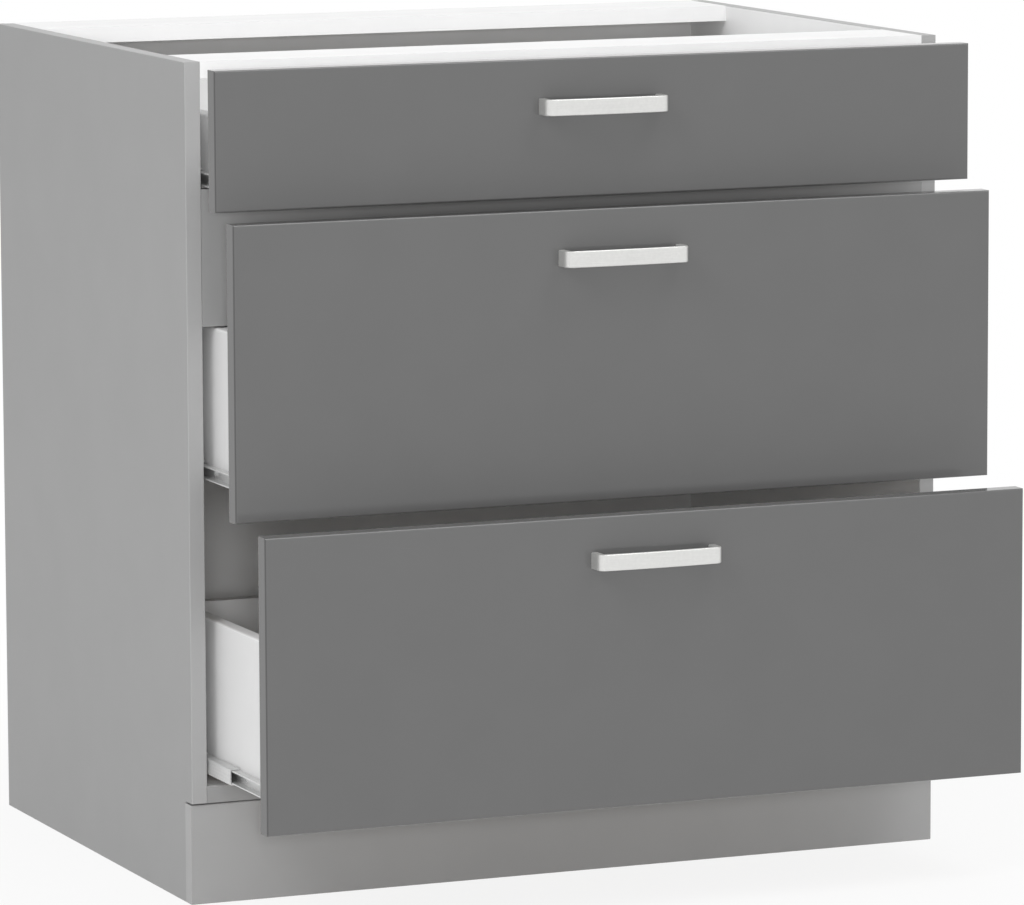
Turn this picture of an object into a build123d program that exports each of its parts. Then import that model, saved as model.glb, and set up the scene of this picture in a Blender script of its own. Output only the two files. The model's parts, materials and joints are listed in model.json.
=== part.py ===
from build123d import *
import os

os.makedirs("parts", exist_ok=True)

# A kitchen base cabinet whose three drawers stand pulled out, each by a different amount.
# Millimetres, +X to the right, +Y to the rear, +Z up. The origin is on the floor, in the
# middle of the plinth's foot.

# Carcase
cabinet_width = 800
cabinet_height = 820
carcase_depth = 560
board = 16  # thickness of the boards of the carcase and of the drawer boxes
edging_round = 1  # rounding of the sides' and the plinth's edging
notch_height = 100  # front foot of each side, where the plinth stands
plinth_recess = 3
plinth_top_gap = 2
rail_depth = 90
back_thickness = 3
rebate_width = 9
panel_play = 0.1  # of a thin panel in its rebate or groove

# Holes under the top rails for the screws of a worktop
worktop_hole_radius = 2.5
worktop_hole_depth = 13
worktop_hole_spacing = 600

# Drawer fronts
front_thickness = 18
front_round = 2
front_side_gap = 2
lower_front_lift = 4  # from the notch's top
lower_gap = 3
upper_gap = 7
front_top_gap = 3
short_front = 135
closed_gap = 2  # between a closed front and the carcase

# Drawer boxes
box_rear_room = 57  # from a box that is level with the carcase's front to the back panel
tall_side = 147
short_side = 68
side_round = 3  # wrapped upper edge of a drawer's side
tall_box_lift = 25  # from the front's lower edge up to the box
short_box_lift = 18
tall_back_drop = 30  # from the side's upper edge down to the back's
short_back_drop = 2
groove_lift = 15
groove_depth = 8
front_groove_depth = 6
bottom_thickness = 4
cross_rail_above_box = 2  # over the middle drawer's box
cross_rail_below_box = 2.5  # under the top drawer's box

# How far each drawer stands out, from the carcase's front to the rear of its own front
top_pull = 59
middle_pull = 106
lower_pull = 183

# Runners: steel channels, each with its web towards what carries it
runner_space = 12.7  # between a drawer's side and the carcase's side
sheet = 1.2
flange_glide = 0.3  # between the flanges of two members
web_glide = 0.4  # between the webs of two members
cabinet_lip_room = 2.3  # from the cabinet member's flanges to the drawer's side
middle_lip_room = 1.5
drawer_member_height = 13
member_inset = 2  # of the drawer member at both ends, and of the cabinet member at the rear
cabinet_member_room = 9  # from the cross rail's rear to the cabinet member
middle_shorter = 100
middle_setback = 31  # of a closed drawer's middle member, from the carcase's front
lagging_setback = 95  # the same in the two upper drawers
adjusting_slot_length = 12  # in the web of the drawer member, near both ends
adjusting_slot_width = 4.4
adjusting_slot_inset = 103

# Handle: a flat bar with two legs, bowed slightly outwards
handle_length = 130
handle_drop = 46  # from the front's upper edge down to the middle of the bar
lower_handle_drop = 42
handle_reach = 20
handle_bow = 2
handle_bar = 5
handle_leg = 7
handle_height = 16
handle_corner = 8
handle_edge = 1.2
handle_bore_radius = 2.05
handle_bore_depth = 10.5

# Fasteners
dowel_radius = 4
dowel_in_end = 18  # in a board's end or edge
dowel_in_face = 12
dowel_chamfer = 1
screw_radius = 1.75
screw_head_radius = 3.2
screw_head_height = 1.6
screw_length = 13
cross_length = 3.6  # recess for the screwdriver
cross_width = 0.8
cross_depth = 1
cam_radius = 7.4
cam_depth = 12.3
cam_slot_radius = 3.6
cam_cross_length = 9
cam_cross_width = 1.6
cam_cross_depth = 1.5
cam_distance = 24  # from the joint to the middle of the cam
bolt_radius = 3
bolt_tip = 2  # past the middle of the cam
thread_radius = 2.5
thread_depth = 10
handle_screw_radius = 2
handle_screw_length = 25
handle_head_radius = 4
handle_head_height = 2.4
handle_head_sink = 2.6
fit = 0.05  # radial play of a fastener in its hole

# Where the fasteners sit
joint_inset = 45  # from a board's edge to its first dowel
joint_step = 32  # on to the cam fitting
rail_dowel_inset = 20
rail_cam_inset = 57
cross_dowel_inset = 25
plinth_dowel_inset = 25
panel_screw_inset = 60
side_screw_count = 5
edge_screw_count = 4
runner_screw_inset = 35
runner_screw_count = 3
front_dowel_lift = 30
box_dowel_drop = 12
back_dowel_lift = 12
bottom_screw_inset = 80
bottom_screw_count = 3

# Planes and sizes that the pieces share
side_x = cabinet_width / 2
inner_x = side_x - board
box_x = inner_x - runner_space
box_inner_x = box_x - board
front_y = -plinth_recess - board / 2
notch_y = front_y + plinth_recess + board
rear_y = front_y + carcase_depth
back_y = rear_y - back_thickness
rail_z = cabinet_height - board / 2
bottom_z = notch_height + board / 2
front_width = cabinet_width - 2 * front_side_gap
box_length = carcase_depth - back_thickness - box_rear_room
handle_spacing = handle_length - handle_leg
lower_front_z = notch_height + lower_front_lift
fronts_height = cabinet_height - front_top_gap - lower_front_z
tall_front = (fronts_height - short_front - lower_gap - upper_gap) / 2
middle_front_z = lower_front_z + tall_front + lower_gap
top_front_z = middle_front_z + tall_front + upper_gap
low_end = (Align.CENTER, Align.CENTER, Align.MIN)

# Directions
rightward = Vector(1, 0, 0)
rearward = Vector(0, 1, 0)
upward = Vector(0, 0, 1)


def spread(first, last, count):
    """Evenly spaced places from first to last."""
    return [first + (last - first) * step / (count - 1) for step in range(count)]


def on_both_sides(places):
    """Places on the right and their mirror images on the left."""
    return places + [Vector(-place.X, place.Y, place.Z) for place in places]


def towards_middle(place):
    return rightward * (-1 if place.X > 0 else 1)


def slab(low, high, mode=Mode.ADD):
    """The box between two corners."""
    size = [b - a for a, b in zip(low, high)]
    with Locations(low):
        Box(*size, align=Align.MIN, mode=mode)


def bore(mouth, direction, radius, depth):
    with Locations(Plane(origin=mouth, z_dir=direction)):
        Cylinder(radius, depth, align=low_end, mode=Mode.SUBTRACT)


def screw_hole(head, direction):
    """A countersunk hole whose screw lies flush at a point."""
    with Locations(Plane(origin=head, z_dir=direction)):
        Cone(
            screw_head_radius + fit,
            screw_radius + fit,
            screw_head_height,
            align=low_end,
            mode=Mode.SUBTRACT,
        )
    bore(head, direction, screw_radius + fit, screw_length + fit)


def cross_recess(length, width, depth):
    """A screwdriver's cross cut into the face at the origin."""
    for size in ((length, width), (width, length)):
        Box(*size, depth, align=low_end, mode=Mode.SUBTRACT)


def save(piece, name):
    piece.part.label = name
    export_step(piece.part, f"parts/{name}.step")


def save_pair(right, name):
    """Saves a piece of the right side and its mirror image on the left."""
    save(right, f"{name}_right")
    with BuildPart() as left:
        mirror(right.part, about=Plane.YZ)
    save(left, f"{name}_left")


def save_fasteners(fastener, planes, name):
    """Saves the same fastener at many places as one group."""
    with BuildPart() as group:
        with Locations(*planes):
            add(fastener.part)
    save(group, name)


# One of each fastener, pointing along +Z. A dowel and a bolt cross the joint at the origin.
with BuildPart() as dowel:
    with Locations((0, 0, -dowel_in_face)):
        Cylinder(dowel_radius, dowel_in_face + dowel_in_end, align=low_end)
    chamfer(dowel.edges().filter_by(GeomType.CIRCLE), dowel_chamfer)

with BuildPart() as screw:
    Cone(screw_head_radius, screw_radius, screw_head_height, align=low_end)
    Cylinder(screw_radius, screw_length, align=low_end)
    cross_recess(cross_length, cross_width, cross_depth)

with BuildPart() as cam_bolt:
    Cylinder(bolt_radius, cam_distance + bolt_tip, align=low_end)
    with Locations((0, 0, -thread_depth)):
        Cylinder(thread_radius, thread_depth, align=low_end)

# The lock's mouth is at the origin, and its slot opens towards -X, where the bolt comes in.
with BuildPart() as cam_lock:
    Cylinder(cam_radius, cam_depth, align=low_end)
    with Locations(Plane(origin=(cam_slot_radius, 0, board / 2), z_dir=-rightward)):
        Cylinder(
            cam_slot_radius, cam_distance, align=low_end, mode=Mode.SUBTRACT
        )
    cross_recess(cam_cross_length, cam_cross_width, cam_cross_depth)

with BuildPart() as handle_screw:
    Cylinder(handle_head_radius, handle_head_height, align=low_end)
    Cylinder(handle_screw_radius, handle_head_height + handle_screw_length, align=low_end)
    cross_recess(cross_length, cross_width, cross_depth)


class Joint:
    """How a board meets both sides: dowels, cam fittings and the way its cams face."""

    def __init__(self, dowels, cams, mouth):
        self.dowels = [Vector(inner_x, y, z) for y, z in dowels]
        self.cams = [Vector(inner_x, y, z) for y, z in cams]
        self.mouth = mouth

    def bore_side(self):
        """Bores in the right-hand side."""
        for place in self.dowels:
            bore(place, rightward, dowel_radius + fit, dowel_in_face + fit)
        for place in self.cams:
            bore(place, rightward, thread_radius + fit, thread_depth + fit)

    def bore_board(self):
        """Bores in both ends of the board."""
        for place in on_both_sides(self.dowels):
            bore(place, towards_middle(place), dowel_radius + fit, dowel_in_end + fit)
        for place in on_both_sides(self.cams):
            bore(place, towards_middle(place), cam_slot_radius, cam_distance)
            bore(self.cam_mouth(place), -self.mouth, cam_radius + fit, cam_depth + fit)

    def cam_mouth(self, place):
        return place + towards_middle(place) * cam_distance + self.mouth * (board / 2)

    def dowel_planes(self):
        places = on_both_sides(self.dowels)
        return [Plane(origin=place, z_dir=towards_middle(place)) for place in places]

    def bolt_planes(self):
        places = on_both_sides(self.cams)
        return [Plane(origin=place, z_dir=towards_middle(place)) for place in places]

    def lock_planes(self):
        return [
            Plane(origin=self.cam_mouth(place), x_dir=towards_middle(place), z_dir=-self.mouth)
            for place in on_both_sides(self.cams)
        ]


class Drawer:
    """Places and heights of one drawer, worked out from its front, its box and its pull."""

    def __init__(self, name, front_z, front_height, box_lift, side_height, back_drop, bar_drop):
        self.name = name
        self.front_z = front_z
        self.front_height = front_height
        self.side_height = side_height
        self.box_z = front_z + box_lift
        self.box_top = self.box_z + side_height
        self.floor_z = self.box_z + groove_lift + bottom_thickness
        self.back_top = self.box_top - back_drop
        self.runner_z = self.box_z + drawer_member_height / 2
        self.handle_z = front_z + front_height - bar_drop

    def pull_out(self, pull, setback):
        """Sets the rear of the front and the front end of the middle runner members."""
        self.y = front_y - pull
        self.middle_y = front_y + setback - (pull - closed_gap) / 2
        self.back_y = self.y + box_length - board

    def front_dowels(self):
        """On the rear of the front, in the middle of the right side's thickness."""
        low = self.box_z + front_dowel_lift
        high = self.box_top - box_dowel_drop
        return [Vector(box_x - board / 2, self.y, z) for z in spread(low, high, 2)]

    def back_dowels(self):
        """On the inner face of the right side, in the middle of the back's thickness."""
        low = self.floor_z + back_dowel_lift
        high = self.back_top - box_dowel_drop
        return [Vector(box_inner_x, self.back_y + board / 2, z) for z in spread(low, high, 2)]

    def runner_screws(self):
        """In the right drawer member, heads flush in its web."""
        return [Vector(box_x + sheet, self.y + y, self.runner_z) for y in runner_screw_ys]

    def cabinet_screws(self):
        """In the right cabinet member, heads flush in its web."""
        return [Vector(inner_x - sheet, y, self.runner_z) for y in cabinet_screw_ys]

    def bottom_screws(self):
        """Under the bottom panel, up into the back."""
        reach = box_inner_x - bottom_screw_inset
        z = self.floor_z - bottom_thickness
        places = spread(-reach, reach, bottom_screw_count)
        return [Vector(x, self.back_y + board / 2, z) for x in places]

    def handle_holes(self, y):
        reach = handle_spacing / 2
        return [Vector(x, y, self.handle_z) for x in (-reach, reach)]


cabinet_member_y = front_y + board + cabinet_member_room
cabinet_member_end = front_y + box_length - member_inset
runner_screw_ys = spread(runner_screw_inset, box_length - runner_screw_inset, runner_screw_count)
cabinet_screw_ys = spread(
    cabinet_member_y + runner_screw_inset, cabinet_member_end - runner_screw_inset, runner_screw_count
)

top_drawer = Drawer(
    name="top_drawer",
    front_z=top_front_z,
    front_height=short_front,
    box_lift=short_box_lift,
    side_height=short_side,
    back_drop=short_back_drop,
    bar_drop=handle_drop,
)
middle_drawer = Drawer(
    name="middle_drawer",
    front_z=middle_front_z,
    front_height=tall_front,
    box_lift=tall_box_lift,
    side_height=tall_side,
    back_drop=tall_back_drop,
    bar_drop=handle_drop,
)
lower_drawer = Drawer(
    name="lower_drawer",
    front_z=lower_front_z,
    front_height=tall_front,
    box_lift=tall_box_lift,
    side_height=tall_side,
    back_drop=tall_back_drop,
    bar_drop=lower_handle_drop,
)
top_drawer.pull_out(top_pull, lagging_setback)
middle_drawer.pull_out(middle_pull, lagging_setback)
lower_drawer.pull_out(lower_pull, middle_setback)
drawers = [top_drawer, middle_drawer, lower_drawer]

# Joints of the carcase
cross_rail_low = middle_drawer.box_top + cross_rail_above_box
cross_rail_high = top_drawer.box_z - cross_rail_below_box
cross_y = front_y + board / 2

bottom_joint = Joint(
    dowels=[(front_y + joint_inset, bottom_z), (back_y - joint_inset, bottom_z)],
    cams=[
        (front_y + joint_inset + joint_step, bottom_z),
        (back_y - joint_inset - joint_step, bottom_z),
    ],
    mouth=-upward,
)
front_rail_joint = Joint(
    dowels=[(front_y + rail_dowel_inset, rail_z)],
    cams=[(front_y + rail_cam_inset, rail_z)],
    mouth=-upward,
)
rear_rail_joint = Joint(
    dowels=[(back_y - rail_dowel_inset, rail_z)],
    cams=[(back_y - rail_cam_inset, rail_z)],
    mouth=-upward,
)
cross_rail_joint = Joint(
    dowels=[
        (cross_y, cross_rail_low + cross_dowel_inset),
        (cross_y, cross_rail_high - cross_dowel_inset),
    ],
    cams=[(cross_y, (cross_rail_low + cross_rail_high) / 2)],
    mouth=rearward,
)
joints = [bottom_joint, front_rail_joint, rear_rail_joint, cross_rail_joint]

plinth_dowels = [
    Vector(side_x - board / 2, notch_y, z)
    for z in (plinth_dowel_inset, notch_height - plinth_dowel_inset)
]

# Screws of the back panel: along both sides, and into the bottom panel and the rear rail
side_back_screws = [
    Vector(inner_x + rebate_width / 2, rear_y, z)
    for z in spread(
        notch_height + panel_screw_inset, cabinet_height - panel_screw_inset, side_screw_count
    )
]
edge_screw_xs = spread(-inner_x + panel_screw_inset, inner_x - panel_screw_inset, edge_screw_count)
bottom_back_screws = [Vector(x, rear_y, bottom_z) for x in edge_screw_xs]
rail_back_screws = [Vector(x, rear_y, rail_z) for x in edge_screw_xs]
back_screws = on_both_sides(side_back_screws) + bottom_back_screws + rail_back_screws

# Carcase boards
with BuildPart() as side:
    with BuildSketch(Plane.YZ.offset(inner_x)):
        with BuildLine():
            Polyline(
                (notch_y, 0),
                (rear_y, 0),
                (rear_y, cabinet_height),
                (front_y, cabinet_height),
                (front_y, notch_height),
                (notch_y, notch_height),
                close=True,
            )
        make_face()
    extrude(amount=board)
    front_edges = side.edges().filter_by(Axis.Z).group_by(Axis.Y)[0]
    top_edges = side.edges().filter_by(Axis.Y).group_by(Axis.Z)[-1]
    fillet(front_edges + top_edges, edging_round)
    slab(
        (inner_x, back_y, notch_height),
        (inner_x + rebate_width, rear_y, cabinet_height),
        mode=Mode.SUBTRACT,
    )
    for joint in joints:
        joint.bore_side()
    for place in plinth_dowels:
        bore(place, rearward, dowel_radius + fit, dowel_in_end + fit)
    for place in side_back_screws:
        screw_hole(place, -rearward)
    for drawer in drawers:
        for place in drawer.cabinet_screws():
            screw_hole(place, rightward)
save_pair(side, "side")

with BuildPart() as bottom_panel:
    slab((-inner_x, front_y, notch_height), (inner_x, back_y, notch_height + board))
    bottom_joint.bore_board()
    for place in bottom_back_screws:
        screw_hole(place, -rearward)
save(bottom_panel, "bottom_panel")

with BuildPart() as top_rail_front:
    slab(
        (-inner_x, front_y, cabinet_height - board),
        (inner_x, front_y + rail_depth, cabinet_height),
    )
    front_rail_joint.bore_board()
    for x in (-worktop_hole_spacing / 2, worktop_hole_spacing / 2):
        mouth = (x, front_y + rail_depth / 2, cabinet_height - board)
        bore(mouth, upward, worktop_hole_radius, worktop_hole_depth)
save(top_rail_front, "top_rail_front")

with BuildPart() as top_rail_rear:
    slab((-inner_x, back_y - rail_depth, cabinet_height - board), (inner_x, back_y, cabinet_height))
    rear_rail_joint.bore_board()
    for place in rail_back_screws:
        screw_hole(place, -rearward)
    for x in (-worktop_hole_spacing / 2, worktop_hole_spacing / 2):
        mouth = (x, back_y - rail_depth / 2, cabinet_height - board)
        bore(mouth, upward, worktop_hole_radius, worktop_hole_depth)
save(top_rail_rear, "top_rail_rear")

with BuildPart() as cross_rail:
    slab((-inner_x, front_y, cross_rail_low), (inner_x, front_y + board, cross_rail_high))
    cross_rail_joint.bore_board()
save(cross_rail, "cross_rail")

with BuildPart() as plinth:
    slab((-side_x, front_y + plinth_recess, 0), (side_x, notch_y, notch_height - plinth_top_gap))
    fillet(plinth.edges().group_by(Axis.Y)[0].filter_by(Axis.X), edging_round)
    for place in on_both_sides(plinth_dowels):
        bore(place, -rearward, dowel_radius + fit, dowel_in_face + fit)
save(plinth, "plinth")

with BuildPart() as back_panel:
    reach = inner_x + rebate_width - panel_play
    slab((-reach, back_y, notch_height), (reach, rear_y, cabinet_height))
    for place in back_screws:
        screw_hole(place, -rearward)
save(back_panel, "back_panel")

# Carcase fasteners
dowel_planes = [Plane(origin=place, z_dir=rearward) for place in on_both_sides(plinth_dowels)]
bolt_planes = []
lock_planes = []
for joint in joints:
    dowel_planes += joint.dowel_planes()
    bolt_planes += joint.bolt_planes()
    lock_planes += joint.lock_planes()
save_fasteners(dowel, dowel_planes, "carcase_dowels")
save_fasteners(cam_bolt, bolt_planes, "cam_bolts")
save_fasteners(cam_lock, lock_planes, "cam_locks")

back_screw_planes = [Plane(origin=place, z_dir=-rearward) for place in back_screws]
save_fasteners(screw, back_screw_planes, "back_panel_screws")

cabinet_screws = [place for drawer in drawers for place in drawer.cabinet_screws()]
cabinet_screw_planes = [
    Plane(origin=place, z_dir=-towards_middle(place)) for place in on_both_sides(cabinet_screws)
]
save_fasteners(screw, cabinet_screw_planes, "cabinet_runner_screws")

# Sections of the runner members, as distances from the carcase's side: web and flange tips
cabinet_web = 0
cabinet_tip = runner_space - cabinet_lip_room
middle_web = sheet + web_glide
middle_tip = runner_space - middle_lip_room
drawer_web = runner_space
drawer_tip = middle_web + sheet + web_glide
middle_height = drawer_member_height + 2 * (flange_glide + sheet)
cabinet_member_height = middle_height + 2 * (flange_glide + sheet)


def channel_section(web, tip, height, y, z):
    """A right-hand channel's section at Y, its web and its flange tips at two distances."""
    opening = 1 if tip > web else -1
    web_x = inner_x - web
    tip_x = inner_x - tip
    hollow_x = web_x - opening * sheet
    low = z - height / 2
    high = z + height / 2
    with BuildSketch(Plane.XZ.offset(-y)) as section:
        with BuildLine():
            FilletPolyline((tip_x, high), (web_x, high), (web_x, low), (tip_x, low), radius=sheet)
            Polyline(
                (tip_x, low),
                (tip_x, low + sheet),
                (hollow_x, low + sheet),
                (hollow_x, high - sheet),
                (tip_x, high - sheet),
                (tip_x, high),
            )
        make_face()
    return section.sketch


def save_runners(drawer):
    z = drawer.runner_z

    with BuildPart() as cabinet_member:
        length = cabinet_member_end - cabinet_member_y
        y = cabinet_member_y
        section = channel_section(cabinet_web, cabinet_tip, cabinet_member_height, y, z)
        extrude(section, amount=-length)
        for place in drawer.cabinet_screws():
            screw_hole(place, rightward)
    save_pair(cabinet_member, f"{drawer.name}_cabinet_runner")

    with BuildPart() as middle_member:
        length = box_length - middle_shorter
        y = drawer.middle_y
        extrude(channel_section(middle_web, middle_tip, middle_height, y, z), amount=-length)
    save_pair(middle_member, f"{drawer.name}_middle_runner")

    with BuildPart() as drawer_member:
        length = box_length - 2 * member_inset
        y = drawer.y + member_inset
        section = channel_section(drawer_web, drawer_tip, drawer_member_height, y, z)
        extrude(section, amount=-length)
        for place in drawer.runner_screws():
            screw_hole(place, -rightward)
        for slot_y in (adjusting_slot_inset, box_length - adjusting_slot_inset):
            middle = (box_x, drawer.y + slot_y, z)
            with BuildSketch(Plane(origin=middle, x_dir=rearward, z_dir=rightward)):
                SlotOverall(adjusting_slot_length, adjusting_slot_width)
            extrude(amount=sheet, mode=Mode.SUBTRACT)
    save_pair(drawer_member, f"{drawer.name}_drawer_runner")


def save_box(drawer):
    """The sides, the back and the bottom of a drawer."""
    with BuildPart() as box_side:
        slab((box_inner_x, drawer.y, drawer.box_z), (box_x, drawer.y + box_length, drawer.box_top))
        fillet(box_side.edges().filter_by(Axis.Y).group_by(Axis.Z)[-1], side_round)
        slab(
            (box_inner_x, drawer.y, drawer.floor_z - bottom_thickness - panel_play),
            (box_inner_x + groove_depth, drawer.y + box_length, drawer.floor_z),
            mode=Mode.SUBTRACT,
        )
        for place in drawer.front_dowels():
            bore(place, rearward, dowel_radius + fit, dowel_in_end + fit)
        for place in drawer.back_dowels():
            bore(place, rightward, dowel_radius + fit, dowel_in_face + fit)
        for place in drawer.runner_screws():
            screw_hole(place, -rightward)
    save_pair(box_side, f"{drawer.name}_side")

    with BuildPart() as box_back:
        slab(
            (-box_inner_x, drawer.back_y, drawer.floor_z),
            (box_inner_x, drawer.back_y + board, drawer.back_top),
        )
        for place in on_both_sides(drawer.back_dowels()):
            bore(place, towards_middle(place), dowel_radius + fit, dowel_in_end + fit)
        for place in drawer.bottom_screws():
            screw_hole(place, upward)
    save(box_back, f"{drawer.name}_back")

    with BuildPart() as box_bottom:
        reach = box_inner_x + groove_depth - panel_play
        slab(
            (-reach, drawer.y - front_groove_depth + panel_play, drawer.floor_z - bottom_thickness),
            (reach, drawer.back_y + board, drawer.floor_z),
        )
        for place in drawer.bottom_screws():
            screw_hole(place, upward)
    save(box_bottom, f"{drawer.name}_bottom")


def save_front(drawer):
    with BuildPart() as front:
        slab(
            (-front_width / 2, drawer.y - front_thickness, drawer.front_z),
            (front_width / 2, drawer.y, drawer.front_z + drawer.front_height),
        )
        fillet(front.faces().sort_by(Axis.Y)[0].edges(), front_round)
        reach = box_inner_x + groove_depth
        slab(
            (-reach, drawer.y - front_groove_depth, drawer.floor_z - bottom_thickness - panel_play),
            (reach, drawer.y, drawer.floor_z),
            mode=Mode.SUBTRACT,
        )
        for place in on_both_sides(drawer.front_dowels()):
            bore(place, -rearward, dowel_radius + fit, dowel_in_face + fit)
        for place in drawer.handle_holes(drawer.y):
            bore(place, -rearward, handle_head_radius + fit, handle_head_sink)
            bore(place, -rearward, handle_bore_radius, front_thickness)
    save(front, f"{drawer.name}_front")


def save_handle(drawer):
    outer = handle_length / 2
    inner = outer - handle_leg
    foot_y = drawer.y - front_thickness
    outer_y = foot_y - handle_reach
    inner_y = outer_y + handle_bar
    with BuildPart() as handle:
        with BuildSketch(Plane.XY.offset(drawer.handle_z - handle_height / 2)) as outline:
            with BuildLine():
                Line((outer, foot_y), (outer, outer_y))
                ThreePointArc((outer, outer_y), (0, outer_y - handle_bow), (-outer, outer_y))
                Line((-outer, outer_y), (-outer, foot_y))
                Line((-outer, foot_y), (-inner, foot_y))
                Line((-inner, foot_y), (-inner, inner_y))
                ThreePointArc((-inner, inner_y), (0, inner_y - handle_bow), (inner, inner_y))
                Line((inner, inner_y), (inner, foot_y))
                Line((inner, foot_y), (outer, foot_y))
            make_face()
            fillet(outline.vertices().group_by(Axis.Y)[0], handle_corner)
        extrude(amount=handle_height)
        feet = handle.faces().sort_by(Axis.Y)[-2:]
        foot_edges = feet[0].edges() + feet[1].edges()
        rims = handle.faces().filter_by(Axis.Z)
        fillet([edge for rim in rims for edge in rim.edges() if edge not in foot_edges], handle_edge)
        for place in drawer.handle_holes(foot_y):
            bore(place, -rearward, handle_bore_radius, handle_bore_depth)
    save(handle, f"{drawer.name}_handle")


def save_drawer_fasteners(drawer):
    fronts = on_both_sides(drawer.front_dowels())
    backs = on_both_sides(drawer.back_dowels())
    planes = [Plane(origin=place, z_dir=rearward) for place in fronts]
    planes += [Plane(origin=place, z_dir=towards_middle(place)) for place in backs]
    save_fasteners(dowel, planes, f"{drawer.name}_dowels")

    runners = on_both_sides(drawer.runner_screws())
    planes = [Plane(origin=place, z_dir=towards_middle(place)) for place in runners]
    planes += [Plane(origin=place, z_dir=upward) for place in drawer.bottom_screws()]
    save_fasteners(screw, planes, f"{drawer.name}_screws")

    head_top = drawer.y - handle_head_sink + handle_head_height
    planes = [Plane(origin=place, z_dir=-rearward) for place in drawer.handle_holes(head_top)]
    save_fasteners(handle_screw, planes, f"{drawer.name}_handle_screws")


for drawer in drawers:
    save_front(drawer)
    save_handle(drawer)
    save_box(drawer)
    save_runners(drawer)
    save_drawer_fasteners(drawer)
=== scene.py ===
import json
import math

import bpy
import numpy as np
from mathutils import Matrix, Vector

# A kitchen base cabinet in grey melamine with three drawers pulled out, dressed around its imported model.
# Metres, +X to the right, +Y to the rear, +Z up.
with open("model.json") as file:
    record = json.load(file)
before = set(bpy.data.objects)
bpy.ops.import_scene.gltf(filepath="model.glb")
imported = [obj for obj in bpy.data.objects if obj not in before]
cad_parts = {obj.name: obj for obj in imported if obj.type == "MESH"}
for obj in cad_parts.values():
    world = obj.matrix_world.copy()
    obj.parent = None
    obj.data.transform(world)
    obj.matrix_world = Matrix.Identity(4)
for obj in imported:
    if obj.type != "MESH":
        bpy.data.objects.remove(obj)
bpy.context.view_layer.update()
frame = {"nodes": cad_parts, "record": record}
print("frame loaded:", len(frame["nodes"]), "nodes")

# The photograph's camera. Its turn is to the right of +Y and its tilt is below the horizon.
camera = {
    "position": (-2.53539, -5.87389, 1.31171),
    "turnDegrees": 22.8725,
    "tiltDegrees": 7.9355,
    "rollDegrees": -0.2235,
    "lens": 230.05,  # mm, on a sensor 36 mm wide
    "sensorWidth": 36,
    "farthest": 100,
}


# The axes follow from the turn and the tilt: the view direction, then the camera's right and up, rolled.
def makeCamera():
    turn = math.radians(camera["turnDegrees"])
    tilt = math.radians(camera["tiltDegrees"])
    roll = math.radians(camera["rollDegrees"])
    ahead = Vector((
        math.sin(turn) * math.cos(tilt),
        math.cos(turn) * math.cos(tilt),
        -math.sin(tilt),
    ))
    level = Vector((math.cos(turn), -math.sin(turn), 0))
    upright = level.cross(ahead)
    right = level * math.cos(roll) + upright * math.sin(roll)
    up = upright * math.cos(roll) - level * math.sin(roll)
    data = bpy.data.cameras.new("photographCamera")
    data.lens = camera["lens"]
    data.sensor_width = camera["sensorWidth"]
    data.clip_end = camera["farthest"]
    viewer = bpy.data.objects.new("photographCamera", data)
    turned = Matrix((right, up, -ahead)).transposed().to_4x4()
    viewer.matrix_world = Matrix.Translation(camera["position"]) @ turned
    bpy.context.scene.collection.objects.link(viewer)
    bpy.context.scene.camera = viewer


# An sRGB hex colour to linear: a channel up to 0.04045 is divided by 12.92, and a higher one has 0.055
# added, is divided by 1.055 and raised to the power 2.4.
def linear(hexColour):
    channels = [int(hexColour[place:place + 2], 16) / 255 for place in (1, 3, 5)]
    return tuple(c / 12.92 if c <= 0.04045 else ((c + 0.055) / 1.055) ** 2.4 for c in channels) + (1,)


# Adds a node. An input takes a plain value, or is linked where it is given another node's output.
def addNode(tree, kind, inputs, **settings):
    node = tree.nodes.new("ShaderNode" + kind)
    for setting, value in settings.items():
        setattr(node, setting, value)
    for place, value in inputs.items():
        if isinstance(value, bpy.types.NodeSocket):
            tree.links.new(value, node.inputs[place])
        else:
            node.inputs[place].default_value = value
    return node


# The places of a colour Mix node's factor, first and second colour among its inputs, and of its result
mixFactor, mixFirst, mixSecond = 0, 6, 7
mixResult = 2


def newMaterial(name):
    material = bpy.data.materials.new(name)
    material.use_nodes = True
    material.node_tree.nodes.clear()
    return material


def finishMaterial(material, shader):
    addNode(material.node_tree, "OutputMaterial", {"Surface": shader.outputs[0]})
    return material


# A pattern's scale, in repeats to the metre, from its size in millimetres
def repeatsOf(millimetres):
    return 1000 / millimetres


# Light: an even white surround, a soft lamp by the camera that reaches into the open cabinet, one high on
# the left for the drawers' sides, and one overhead to the right, which draws a light line along the
# rounded upper edges of fronts and handles
light = {
    "surround": 0.69,
    "background": 1.0,  # what the camera and reflections see
    "aim": (0, 0, 0.45),
    "lamps": {
        "front": {"place": (-2.5, -5.85, 1.32), "size": 0.7, "watts": 92, "mirrored": False},
        "left": {"place": (-2.8, -1.6, 3.2), "size": 1.6, "watts": 34, "mirrored": False},
        "top": {"place": (1.2, -1.0, 3.8), "size": 1.6, "watts": 30, "mirrored": True},
    },
}


# One where the camera, a reflection or a look through glass meets the surface, and nought for other light
def seenDirectly(tree):
    path = addNode(tree, "LightPath", {})
    plain = addNode(tree, "Math", {
        0: path.outputs["Is Camera Ray"], 1: path.outputs["Is Glossy Ray"],
    }, operation="MAXIMUM")
    return addNode(tree, "Math", {
        0: plain.outputs[0], 1: path.outputs["Is Transmission Ray"],
    }, operation="MAXIMUM").outputs[0]


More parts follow.
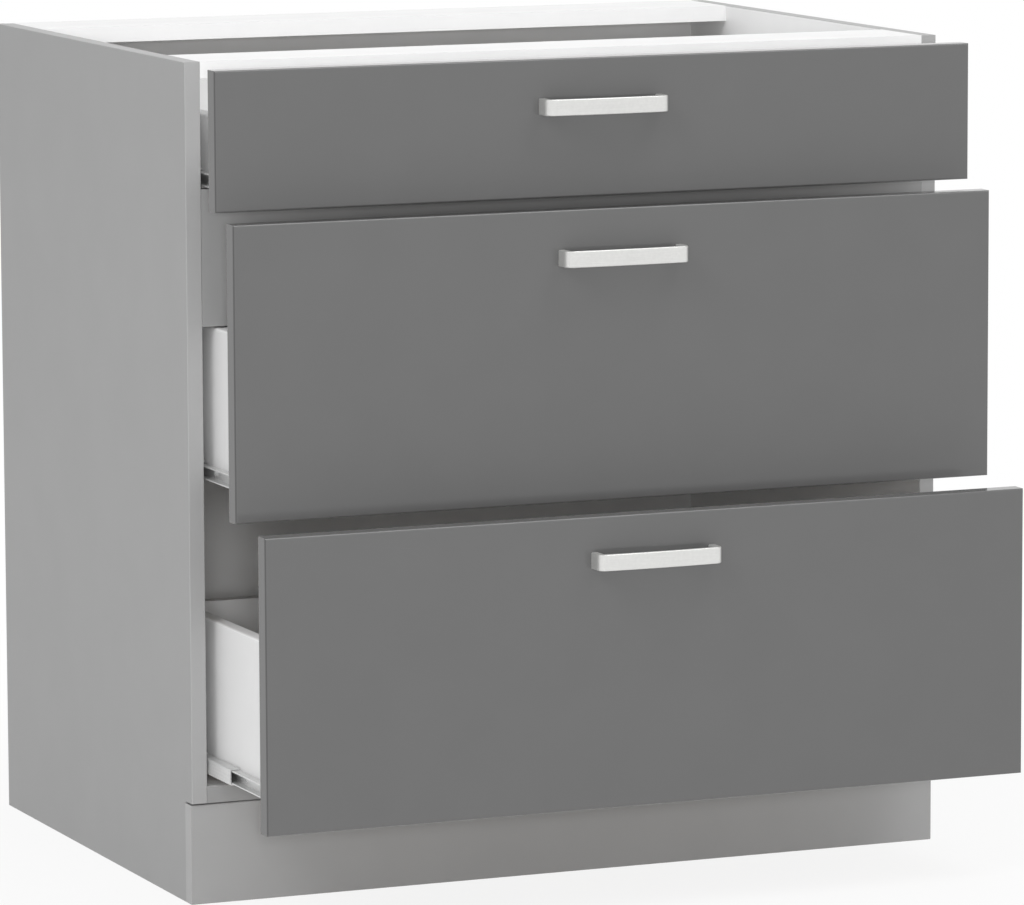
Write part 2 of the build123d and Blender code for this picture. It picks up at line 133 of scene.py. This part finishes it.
def makeLight():
    bpy.context.scene.view_settings.view_transform = "Standard"
    world = bpy.data.worlds.new("studio")
    bpy.context.scene.world = world
    world.use_nodes = True
    tree = world.node_tree
    tree.nodes.clear()
    lighting = addNode(tree, "Background", {"Color": linear("#FFFFFF"), "Strength": light["surround"]})
    backdrop = addNode(tree, "Background", {"Color": linear("#FFFFFF"), "Strength": light["background"]})
    both = addNode(tree, "MixShader", {
        0: seenDirectly(tree), 1: lighting.outputs[0], 2: backdrop.outputs[0],
    })
    addNode(tree, "OutputWorld", {"Surface": both.outputs[0]})
    for name, lamp in light["lamps"].items():
        data = bpy.data.lights.new(name + "Lamp", "AREA")
        data.shape = "DISK"
        data.size = lamp["size"]
        data.energy = lamp["watts"]
        softbox = bpy.data.objects.new(name + "Lamp", data)
        softbox.location = lamp["place"]
        towards = Vector(light["aim"]) - Vector(lamp["place"])
        softbox.rotation_euler = towards.to_track_quat("-Z", "Y").to_euler()
        softbox.visible_camera = False
        softbox.visible_glossy = lamp["mirrored"]
        bpy.context.scene.collection.objects.link(softbox)


# Floor: a round sheet whose camera view is part plain white, so that only a soft shadow is left on it
floor = {
    "radius": 30,
    "rings": 12,
    "spokes": 64,
    "colour": "#F4F4F4",
    "roughness": 0.9,
    "specularLevel": 0.1,
    "whiteShare": 0.86,
    "shadowReach": 0.5,  # from the middle, beyond which the floor fades to white
    "whiteFrom": 1.6,
}


# Places on the disc: the radius grows with the square of the ring's number, and the angle evenly.
def makeFloor():
    rings = np.linspace(0, 1, floor["rings"] + 1)[1:] ** 2 * floor["radius"]
    angles = np.arange(floor["spokes"]) * 2 * math.pi / floor["spokes"]
    ring, angle = np.meshgrid(rings, angles, indexing="ij")
    points = np.stack([ring * np.cos(angle), ring * np.sin(angle), 0 * ring], -1).reshape(-1, 3)
    spokes = floor["spokes"]
    inner = np.arange(floor["rings"] - 1)[:, None] * spokes + np.arange(spokes)
    following = np.roll(inner, -1, axis=1)
    quads = np.stack([inner, inner + spokes, following + spokes, following], -1).reshape(-1, 4)
    mesh = bpy.data.meshes.new("floor")
    mesh.from_pydata(points.tolist(), [], [list(range(spokes))] + quads.tolist())
    sheet = bpy.data.objects.new("floor", mesh)
    bpy.context.scene.collection.objects.link(sheet)

    material = newMaterial("matteWhiteFloor")
    tree = material.node_tree
    paint = addNode(tree, "BsdfPrincipled", {
        "Base Color": linear(floor["colour"]), "Roughness": floor["roughness"],
        "Specular IOR Level": floor["specularLevel"],
    })
    white = addNode(tree, "Emission", {"Color": linear("#FFFFFF"), "Strength": light["background"]})
    place = addNode(tree, "TexCoord", {}).outputs["Object"]
    distance = addNode(tree, "VectorMath", {0: place}, operation="LENGTH")
    whiteShare = addNode(tree, "MapRange", {
        "Value": distance.outputs["Value"], "From Min": floor["shadowReach"],
        "From Max": floor["whiteFrom"], "To Min": floor["whiteShare"], "To Max": 1,
    }, interpolation_type="SMOOTHSTEP")
    share = addNode(tree, "Math", {0: seenDirectly(tree), 1: whiteShare.outputs[0]}, operation="MULTIPLY")
    finishMaterial(material, addNode(tree, "MixShader", {
        0: share.outputs[0], 1: paint.outputs[0], 2: white.outputs[0],
    }))
    mesh.materials.append(material)


# Wear along the edges. A lean is the cosine between a face's own normal and the averaged one.
edgeWear = {
    "samples": 4,
    "faintLean": 0.94,
    "fullLean": 0.74,
    "patchLow": 0.35,
    "patchHigh": 0.7,
    "leastShare": 0.25,  # of the wear, between the patches
}


# How worn a point is, from 0 to 1: near an edge of its piece the normal averaged over a small radius
# leans away from the face's own normal, and a noise breaks the wear up into patches.
def wornEdge(tree, place, wear):
    soft = addNode(tree, "Bevel", {"Radius": wear["radius"]}, samples=edgeWear["samples"])
    own = addNode(tree, "NewGeometry", {})
    along = addNode(tree, "VectorMath", {
        0: soft.outputs[0], 1: own.outputs["Normal"],
    }, operation="DOT_PRODUCT")
    lean = addNode(tree, "MapRange", {
        "Value": along.outputs["Value"], "From Min": edgeWear["faintLean"],
        "From Max": edgeWear["fullLean"], "To Min": 0, "To Max": 1,
    })
    patches = addNode(tree, "TexNoise", {
        "Vector": place, "Scale": repeatsOf(wear["patchMillimetres"]), "Detail": 2,
    })
    strength = addNode(tree, "MapRange", {
        "Value": patches.outputs["Fac"], "From Min": edgeWear["patchLow"],
        "From Max": edgeWear["patchHigh"], "To Min": edgeWear["leastShare"], "To Max": 1,
    })
    worn = addNode(tree, "Math", {0: lean.outputs[0], 1: strength.outputs[0]}, operation="MULTIPLY")
    return worn.outputs[0]


# Most values of a noise lie between the first two, and most of a product of two noises between the others
noiseLow, noiseHigh = 0.3, 0.7
productLow, productHigh = 0.1, 0.4
glossSpread = 0.02  # how far a roughness strays to either side

# The directions in which a face of a board can look. Outwards is away from the cabinet's middle.
directions = {
    "outwards": (1, 0, 0),
    "inwards": (-1, 0, 0),
    "front": (0, -1, 0),
    "rear": (0, 1, 0),
    "top": (0, 0, 1),
    "below": (0, 0, -1),
}

# Wood-based boards. A face that isn't named is bare: chipboard, or fibreboard where the core says so.
# Melamine is a resin-soaked paper pressed to the board, with a fine pearl grain; edging is plastic strip.
greyMelamine = "#989898"
# The edging grey is lighter than the melamine: partly the strip's own paler shade, partly painted light for
# the brighter tops and front edges.
greyEdgingAndPaintedLight = "#A8A8A8"
whiteMelamine = "#F2F2F2"
whiteFoil = "#E3E3E3"
hardboardPaint = "#F0F0F0"
frontFoil = "#656565"
frontFoilSidePaintedShade = "#505050"  # painted shade: a darker copy of the same front foil on the upright edges
melamine = {"core": "chipboard", "roughness": 0.46, "grainMillimetres": 1.6, "grainHeight": 0.05}
boards = {
    "side_board": {
        "name": "melamineChipboardSide", **melamine,
        "faces": {
            "outwards": greyMelamine, "inwards": whiteMelamine, "front": greyEdgingAndPaintedLight, "top": greyEdgingAndPaintedLight,
            "below": greyEdgingAndPaintedLight,
        },
    },
    "bottom_board": {
        "name": "melamineChipboardBottom", **melamine,
        "faces": {
            "top": whiteMelamine, "below": whiteMelamine, "front": greyMelamine, "outwards": greyEdgingAndPaintedLight,
        },
    },
    "rail_board": {
        "name": "melamineChipboardRail", **melamine,
        "faces": {
            "top": whiteMelamine, "below": whiteMelamine, "front": whiteMelamine, "rear": whiteMelamine,
            "outwards": whiteMelamine,
        },
    },
    "cross_board": {
        "name": "melamineChipboardCrossRail", **melamine,
        "faces": {
            "front": greyMelamine, "rear": whiteMelamine, "top": greyEdgingAndPaintedLight, "below": greyEdgingAndPaintedLight,
            "outwards": greyEdgingAndPaintedLight,
        },
    },
    "plinth_board": {  # its face is painted in the paler edging grey instead of its melamine grey, painted light that brightens it
        "name": "melamineChipboardPlinth", **melamine,
        "faces": {
            "front": greyEdgingAndPaintedLight, "rear": greyMelamine, "top": greyEdgingAndPaintedLight, "outwards": greyEdgingAndPaintedLight,
        },
    },
    "front_board": {  # glossy foil drawn over the face and its rounded edges, with hardly any texture
        "name": "foiledFibreboardFront",
        "faces": {
            "front": frontFoil, "outwards": frontFoilSidePaintedShade, "inwards": frontFoilSidePaintedShade, "top": frontFoil,
            "below": frontFoil, "rear": whiteMelamine,
        },
        "core": "fibreboard", "roughness": 0.1, "grainMillimetres": 6, "grainHeight": 0.002,
    },
    "box_board": {  # white foil wrapped over the upper edge; the top is painted lighter than the sides, a painted highlight on its rounding
        "name": "foiledChipboardDrawerSide",
        "faces": {
            "outwards": whiteFoil, "inwards": whiteFoil, "top": "#F4F4F4", "below": whiteFoil,
            "front": whiteFoil,
        },
        "core": "chipboard", "roughness": 0.4, "grainMillimetres": 2.2, "grainHeight": 0.04,
    },
    "thin_board": {  # painted white on the side that shows, bare brown behind
        "name": "coatedHardboard",
        "faces": {"top": hardboardPaint, "front": hardboardPaint},
        "core": "fibreboard", "roughness": 0.5, "grainMillimetres": 1.2, "grainHeight": 0.05,
    },
}

# Bare cores: flakes 2.6 mm across in chipboard, tufts of felted fibres 0.9 mm across in fibreboard
cores = {
    "chipboard": {"dark": "#9C8B70", "light": "#C9BBA0", "flake": 2.6, "height": 0.35},
    "fibreboard": {"dark": "#84725D", "light": "#A39078", "flake": 0.9, "height": 0.15},
}

# What all boards share
boardSurface = {
    "faceLimit": 0.5,  # a face looks in a direction if it is within 60 degrees of it
    "bareRoughness": 0.88,
    "fibreMillimetres": 0.8,
    "cloudMillimetres": 60,
    "shadeSpread": 0.03,  # how far the colour of a laid face strays, as a share
    "grainRoughness": 0.6,
    "bumpDistance": 0.001,
    "bumpStrength": 0.5,
}
boardWear = {"radius": 0.0012, "patchMillimetres": 18, "share": 0.18, "colour": "#F0F0EE"}


def boardMaterial(board):
    material = newMaterial(board["name"])
    tree = material.node_tree
    coordinates = addNode(tree, "TexCoord", {})
    place = coordinates.outputs["Object"]
    normal = addNode(tree, "SeparateXYZ", {0: coordinates.outputs["Normal"]})
    position = addNode(tree, "SeparateXYZ", {0: place})
    side = addNode(tree, "Math", {0: position.outputs["X"]}, operation="SIGN")
    outward = addNode(tree, "Math", {0: normal.outputs["X"], 1: side.outputs[0]}, operation="MULTIPLY")
    facing = addNode(tree, "CombineXYZ", {
        "X": outward.outputs[0], "Y": normal.outputs["Y"], "Z": normal.outputs["Z"],
    })

    # The bare core under everything
    core = cores[board["core"]]
    flakes = addNode(tree, "TexVoronoi", {"Vector": place, "Scale": repeatsOf(core["flake"])})
    flakeShade = addNode(tree, "SeparateColor", {0: flakes.outputs["Color"]})
    fibres = addNode(tree, "TexNoise", {
        "Vector": place, "Scale": repeatsOf(boardSurface["fibreMillimetres"]), "Detail": 3,
    })
    mottle = addNode(tree, "Math", {
        0: flakeShade.outputs[0], 1: fibres.outputs["Fac"],
    }, operation="MULTIPLY")
    colour = addNode(tree, "Mix", {
        mixFactor: mottle.outputs[0], mixFirst: linear(core["dark"]), mixSecond: linear(core["light"]),
    }, data_type="RGBA").outputs[mixResult]

    # Each laid face over it, by the way it looks
    covered = None
    for direction, hexColour in board["faces"].items():
        along = addNode(tree, "VectorMath", {
            0: facing.outputs[0], 1: directions[direction],
        }, operation="DOT_PRODUCT")
        laid = addNode(tree, "Math", {
            0: along.outputs["Value"], 1: boardSurface["faceLimit"],
        }, operation="GREATER_THAN")
        colour = addNode(tree, "Mix", {
            mixFactor: laid.outputs[0], mixFirst: colour, mixSecond: linear(hexColour),
        }, data_type="RGBA").outputs[mixResult]
        if covered is None:
            covered = laid.outputs[0]
        else:
            covered = addNode(tree, "Math", {0: covered, 1: laid.outputs[0]}, operation="MAXIMUM").outputs[0]

    # Slow clouds, a little lighter and darker, and worn edges
    clouds = addNode(tree, "TexNoise", {
        "Vector": place, "Scale": repeatsOf(boardSurface["cloudMillimetres"]), "Detail": 2,
    })
    shade = addNode(tree, "MapRange", {
        "Value": clouds.outputs["Fac"], "From Min": noiseLow, "From Max": noiseHigh,
        "To Min": 1 - boardSurface["shadeSpread"] / 2, "To Max": 1 + boardSurface["shadeSpread"] / 2,
    })
    shaded = addNode(tree, "VectorMath", {0: colour, 3: shade.outputs[0]}, operation="SCALE")
    worn = wornEdge(tree, place, boardWear)
    wear = addNode(tree, "Math", {0: worn, 1: boardWear["share"]}, operation="MULTIPLY")
    finalColour = addNode(tree, "Mix", {
        mixFactor: wear.outputs[0], mixFirst: shaded.outputs[0], mixSecond: linear(boardWear["colour"]),
    }, data_type="RGBA").outputs[mixResult]

    # Gloss and height, of the grain on a laid face and of the flakes where it is bare
    grain = addNode(tree, "TexNoise", {
        "Vector": place, "Scale": repeatsOf(board["grainMillimetres"]), "Detail": 2,
        "Roughness": boardSurface["grainRoughness"],
    })
    gloss = addNode(tree, "MapRange", {
        "Value": grain.outputs["Fac"], "From Min": noiseLow, "From Max": noiseHigh,
        "To Min": board["roughness"] - glossSpread, "To Max": board["roughness"] + glossSpread,
    })
    roughness = addNode(tree, "MapRange", {
        "Value": covered, "To Min": boardSurface["bareRoughness"], "To Max": gloss.outputs[0],
    })
    grainHeight = addNode(tree, "Math", {
        0: grain.outputs["Fac"], 1: board["grainHeight"],
    }, operation="MULTIPLY")
    flakeHeight = addNode(tree, "Math", {0: mottle.outputs[0], 1: core["height"]}, operation="MULTIPLY")
    height = addNode(tree, "MapRange", {
        "Value": covered, "To Min": flakeHeight.outputs[0], "To Max": grainHeight.outputs[0],
    })
    bump = addNode(tree, "Bump", {
        "Height": height.outputs[0], "Distance": boardSurface["bumpDistance"],
        "Strength": boardSurface["bumpStrength"],
    })
    shader = addNode(tree, "BsdfPrincipled", {
        "Base Color": finalColour, "Roughness": roughness.outputs[0], "Normal": bump.outputs[0],
    })
    return finishMaterial(material, shader)


# Metals. The streaks run along the way the piece was rolled or brushed, and the specks are its plating or
# its casting. Sizes are in millimetres.
metals = {
    "runner_zinc": {  # cold-rolled strip with bright zinc plating: soft gloss, faint roll marks
        "name": "zincPlatedSteelRunner", "colour": "#E2E2E1", "dark": "#D4D5D5", "metallic": 0.7,
        "roughness": 0.45, "streak": (0.6, 40, 0.6), "speck": 2.5, "height": 0.08, "worn": "#EDEEEE",
    },
    "handle_nickel": {  # cast zinc, blasted and nickel-plated: fine pits scatter light almost as paint does
        "name": "satinNickelHandle", "colour": "#DFDFDD", "dark": "#D8D8D6", "metallic": 0.6,
        "roughness": 0.34, "streak": (30, 0.8, 0.8), "speck": 3, "height": 0.03, "worn": "#F6F6F5",
    },
    "screw_steel": {  # turned steel with clear zinc plating
        "name": "zincPlatedSteelScrew", "colour": "#C3C7CB", "dark": "#A4A9AE", "metallic": 1,
        "roughness": 0.3, "streak": (0.5, 0.5, 0.5), "speck": 0.8, "height": 0.06, "worn": "#DDDFE1",
    },
    "cam_zinc": {  # pressure-cast zinc, left as it comes from the mould
        "name": "castZincCam", "colour": "#A6A8AA", "dark": "#8E9092", "metallic": 1,
        "roughness": 0.52, "streak": (1.2, 1.2, 1.2), "speck": 0.6, "height": 0.2, "worn": "#C9CACB",
    },
}
metalBumpDistance = 0.0003
metalWear = {"radius": 0.0006, "patchMillimetres": 6}


def metalMaterial(metal):
    material = newMaterial(metal["name"])
    tree = material.node_tree
    place = addNode(tree, "TexCoord", {}).outputs["Object"]
    stretched = addNode(tree, "VectorMath", {
        0: place, 1: tuple(repeatsOf(size) for size in metal["streak"]),
    }, operation="MULTIPLY")
    streaks = addNode(tree, "TexNoise", {"Vector": stretched.outputs[0], "Scale": 1, "Detail": 3})
    specks = addNode(tree, "TexNoise", {"Vector": place, "Scale": repeatsOf(metal["speck"]), "Detail": 2})
    marks = addNode(tree, "Math", {
        0: streaks.outputs["Fac"], 1: specks.outputs["Fac"],
    }, operation="MULTIPLY")
    share = addNode(tree, "MapRange", {
        "Value": marks.outputs[0], "From Min": productLow, "From Max": productHigh,
    })
    plated = addNode(tree, "Mix", {
        mixFactor: share.outputs[0], mixFirst: linear(metal["dark"]), mixSecond: linear(metal["colour"]),
    }, data_type="RGBA")
    worn = wornEdge(tree, place, metalWear)
    colour = addNode(tree, "Mix", {
        mixFactor: worn, mixFirst: plated.outputs[mixResult], mixSecond: linear(metal["worn"]),
    }, data_type="RGBA")
    roughness = addNode(tree, "MapRange", {
        "Value": marks.outputs[0], "From Min": productLow, "From Max": productHigh,
        "To Min": metal["roughness"] + glossSpread, "To Max": metal["roughness"] - glossSpread,
    })
    bump = addNode(tree, "Bump", {
        "Height": marks.outputs[0], "Distance": metalBumpDistance, "Strength": metal["height"],
    })
    shader = addNode(tree, "BsdfPrincipled", {
        "Base Color": colour.outputs[mixResult], "Metallic": metal["metallic"],
        "Roughness": roughness.outputs[0], "Normal": bump.outputs[0],
    })
    return finishMaterial(material, shader)


# Dowels: turned beech, with short dark flecks that run across the cabinet
beech = {
    "dark": "#B98E62",
    "light": "#D9B68B",
    "fleck": (6, 0.5, 0.5),  # mm
    "roughness": 0.6,
    "bumpDistance": 0.0003,
    "bumpStrength": 0.3,
}


def beechMaterial():
    material = newMaterial("turnedBeechDowel")
    tree = material.node_tree
    place = addNode(tree, "TexCoord", {}).outputs["Object"]
    stretched = addNode(tree, "VectorMath", {
        0: place, 1: tuple(repeatsOf(size) for size in beech["fleck"]),
    }, operation="MULTIPLY")
    flecks = addNode(tree, "TexNoise", {"Vector": stretched.outputs[0], "Scale": 1, "Detail": 4})
    colour = addNode(tree, "Mix", {
        mixFactor: flecks.outputs["Fac"], mixFirst: linear(beech["dark"]), mixSecond: linear(beech["light"]),
    }, data_type="RGBA")
    bump = addNode(tree, "Bump", {
        "Height": flecks.outputs["Fac"], "Distance": beech["bumpDistance"],
        "Strength": beech["bumpStrength"],
    })
    shader = addNode(tree, "BsdfPrincipled", {
        "Base Color": colour.outputs[mixResult], "Roughness": beech["roughness"],
        "Normal": bump.outputs[0],
    })
    return finishMaterial(material, shader)


# Each piece gets the finish that its record names.
def dressNodes():
    finishes = {slot: boardMaterial(board) for slot, board in boards.items()}
    finishes.update({slot: metalMaterial(metal) for slot, metal in metals.items()})
    finishes["dowel_beech"] = beechMaterial()
    for part in frame["record"]["subparts"]:
        piece = frame["nodes"][part["node"]]
        piece.data.materials[0] = finishes[part["material_slot"]]


makeCamera()
print("camera made")
makeLight()
print("light made")
makeFloor()
print("floor made")
dressNodes()
print("materials made")
